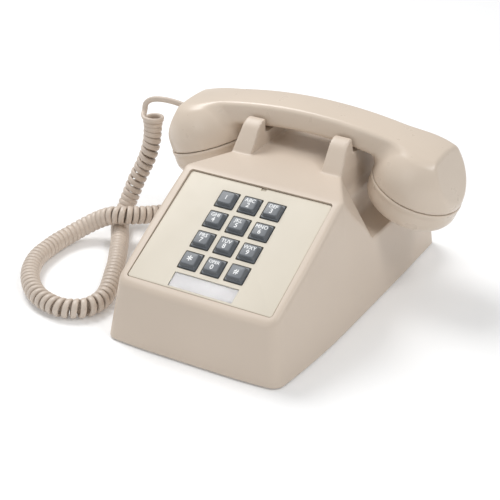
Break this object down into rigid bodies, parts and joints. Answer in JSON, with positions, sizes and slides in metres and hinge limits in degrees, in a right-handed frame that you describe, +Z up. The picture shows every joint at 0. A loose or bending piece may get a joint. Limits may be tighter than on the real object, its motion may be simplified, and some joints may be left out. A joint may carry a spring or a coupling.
{
  "type": "corded desk telephone",
  "caption": "Corded push-button desk telephone with a sloping dial face, a cradle with four ears, a lift-off handset and a coiled handset cord.",
  "frame": {"origin": "centre of the set's outline on the table, at the underside of the feet, measured without the cord", "axes": "+Z up, -Y towards the user (the front face), +X towards the user's right; the set is symmetric about X = 0 apart from the jacks, wheel, ringer and cord"},
  "size_m": [0.286, 0.236, 0.122],
  "materials": {
    "housing": "moulded ABS, satin gloss, warm ash beige",
    "handset": "moulded ABS, satin gloss, warm ash beige",
    "faceplate": "moulded ABS, fine matte grain",
    "keys": "dark grey ABS with white moulded legends",
    "card": "white paper card",
    "clear_plastic": "clear polycarbonate",
    "button_plastic": "natural nylon",
    "zinc_steel": "zinc-plated steel sheet",
    "spring_steel": "bright steel wire",
    "screws": "zinc-plated screws",
    "rubber": "black rubber",
    "black_plastic": "black moulded plastic",
    "circuit_board": "green solder mask",
    "gong_brass": "spun brass",
    "copper": "varnished copper winding",
    "magnet": "black-painted magnet",
    "cord": "moulded vinyl cord, satin"
  },
  "bodies": {
    "base": {"housing": "housing", "faceplate": "faceplate", "designation_card": "card", "card_window": "clear_plastic", "base_plate": "zinc_steel", "feet": "rubber", "housing_screws": "screws", "key_frame": "black_plastic", "key_board": "circuit_board", "key_contacts": "rubber", "key_springs": "spring_steel", "key_screws": "screws", "lever_pin": "spring_steel", "lever_bracket": "zinc_steel", "lever_spring": "spring_steel", "hook_contacts": "black_plastic", "ringer_frame": "zinc_steel", "gongs": "gong_brass", "gong_screws": "screws", "ringer_coil": "copper", "ringer_magnet": "magnet", "wheel_bracket": "zinc_steel", "network_board": "circuit_board", "network_parts": "black_plastic", "board_screws": "screws", "handset_jack_base": "black_plastic", "line_jack": "black_plastic", "base_plug": "clear_plastic", "cord_coil": "cord", "cord_tail_lower": "cord"},
    "handset": {"handset_shell": "handset", "ear_cap": "handset", "mouth_cap": "handset", "receiver_unit": "black_plastic", "transmitter_unit": "zinc_steel", "contact_cup": "black_plastic", "handset_jack": "black_plastic", "handset_plug": "clear_plastic", "cord_tail_upper": "cord"},
    "cradle_button_left": {"cradle_button_left": "button_plastic"},
    "cradle_button_right": {"cradle_button_right": "button_plastic"},
    "cradle_lever": {"cradle_lever": "zinc_steel"},
    "clapper": {"clapper": "spring_steel"},
    "volume_wheel": {"volume_wheel": "black_plastic"},
    "key_1": {"key_1": "keys"},
    "key_2": {"key_2": "keys"},
    "key_3": {"key_3": "keys"},
    "key_4": {"key_4": "keys"},
    "key_5": {"key_5": "keys"},
    "key_6": {"key_6": "keys"},
    "key_7": {"key_7": "keys"},
    "key_8": {"key_8": "keys"},
    "key_9": {"key_9": "keys"},
    "key_star": {"key_star": "keys"},
    "key_0": {"key_0": "keys"},
    "key_hash": {"key_hash": "keys"}
  },
  "joints": [
    {"name": "handset_lift", "type": "slide", "parent": "base", "child": "handset", "axis": [0, 0, 1], "range_m": [0, 0.06]},
    {"name": "left_button_travel", "type": "slide", "parent": "base", "child": "cradle_button_left", "axis": [0, 0, 1], "range_m": [0, 0.005]},
    {"name": "right_button_travel", "type": "slide", "parent": "base", "child": "cradle_button_right", "axis": [0, 0, 1], "range_m": [0, 0.005]},
    {"name": "cradle_lever_swing", "type": "hinge", "parent": "base", "child": "cradle_lever", "pos_m": [0, 0.076, 0.062], "axis": [-1, 0, 0], "range_deg": [0, 10.2]},
    {"name": "clapper_swing", "type": "hinge", "parent": "base", "child": "clapper", "pos_m": [-0.008, 0.034, 0.014], "axis": [0, 0, 1], "range_deg": [-2, 2], "stiffness_Nm_per_rad": 0.0008},
    {"name": "volume_wheel_turn", "type": "hinge", "parent": "base", "child": "volume_wheel", "pos_m": [0.05, 0.044, 0.0145], "axis": [1, 0, 0], "range_deg": [-135, 135]},
    {"name": "key_1_press", "type": "slide", "parent": "base", "child": "key_1", "axis": [0, 0.4571, -0.8894], "range_m": [0, 0.0025], "stiffness_N_per_m": 300, "springref_m": -0.0015},
    {"name": "key_2_press", "type": "slide", "parent": "base", "child": "key_2", "axis": [0, 0.4571, -0.8894], "range_m": [0, 0.0025], "stiffness_N_per_m": 300, "springref_m": -0.0015},
    {"name": "key_3_press", "type": "slide", "parent": "base", "child": "key_3", "axis": [0, 0.4571, -0.8894], "range_m": [0, 0.0025], "stiffness_N_per_m": 300, "springref_m": -0.0015},
    {"name": "key_4_press", "type": "slide", "parent": "base", "child": "key_4", "axis": [0, 0.4571, -0.8894], "range_m": [0, 0.0025], "stiffness_N_per_m": 300, "springref_m": -0.0015},
    {"name": "key_5_press", "type": "slide", "parent": "base", "child": "key_5", "axis": [0, 0.4571, -0.8894], "range_m": [0, 0.0025], "stiffness_N_per_m": 300, "springref_m": -0.0015},
    {"name": "key_6_press", "type": "slide", "parent": "base", "child": "key_6", "axis": [0, 0.4571, -0.8894], "range_m": [0, 0.0025], "stiffness_N_per_m": 300, "springref_m": -0.0015},
    {"name": "key_7_press", "type": "slide", "parent": "base", "child": "key_7", "axis": [0, 0.4571, -0.8894], "range_m": [0, 0.0025], "stiffness_N_per_m": 300, "springref_m": -0.0015},
    {"name": "key_8_press", "type": "slide", "parent": "base", "child": "key_8", "axis": [0, 0.4571, -0.8894], "range_m": [0, 0.0025], "stiffness_N_per_m": 300, "springref_m": -0.0015},
    {"name": "key_9_press", "type": "slide", "parent": "base", "child": "key_9", "axis": [0, 0.4571, -0.8894], "range_m": [0, 0.0025], "stiffness_N_per_m": 300, "springref_m": -0.0015},
    {"name": "key_star_press", "type": "slide", "parent": "base", "child": "key_star", "axis": [0, 0.4571, -0.8894], "range_m": [0, 0.0025], "stiffness_N_per_m": 300, "springref_m": -0.0015},
    {"name": "key_0_press", "type": "slide", "parent": "base", "child": "key_0", "axis": [0, 0.4571, -0.8894], "range_m": [0, 0.0025], "stiffness_N_per_m": 300, "springref_m": -0.0015},
    {"name": "key_hash_press", "type": "slide", "parent": "base", "child": "key_hash", "axis": [0, 0.4571, -0.8894], "range_m": [0, 0.0025], "stiffness_N_per_m": 300, "springref_m": -0.0015}
  ],
  "couplings": [
    {"joint": "left_button_travel", "follows": "handset_lift", "ratio": 0.083333},
    {"joint": "right_button_travel", "follows": "handset_lift", "ratio": 0.083333},
    {"joint": "cradle_lever_swing", "follows": "handset_lift", "rad_per_m": 2.967}
  ]
}
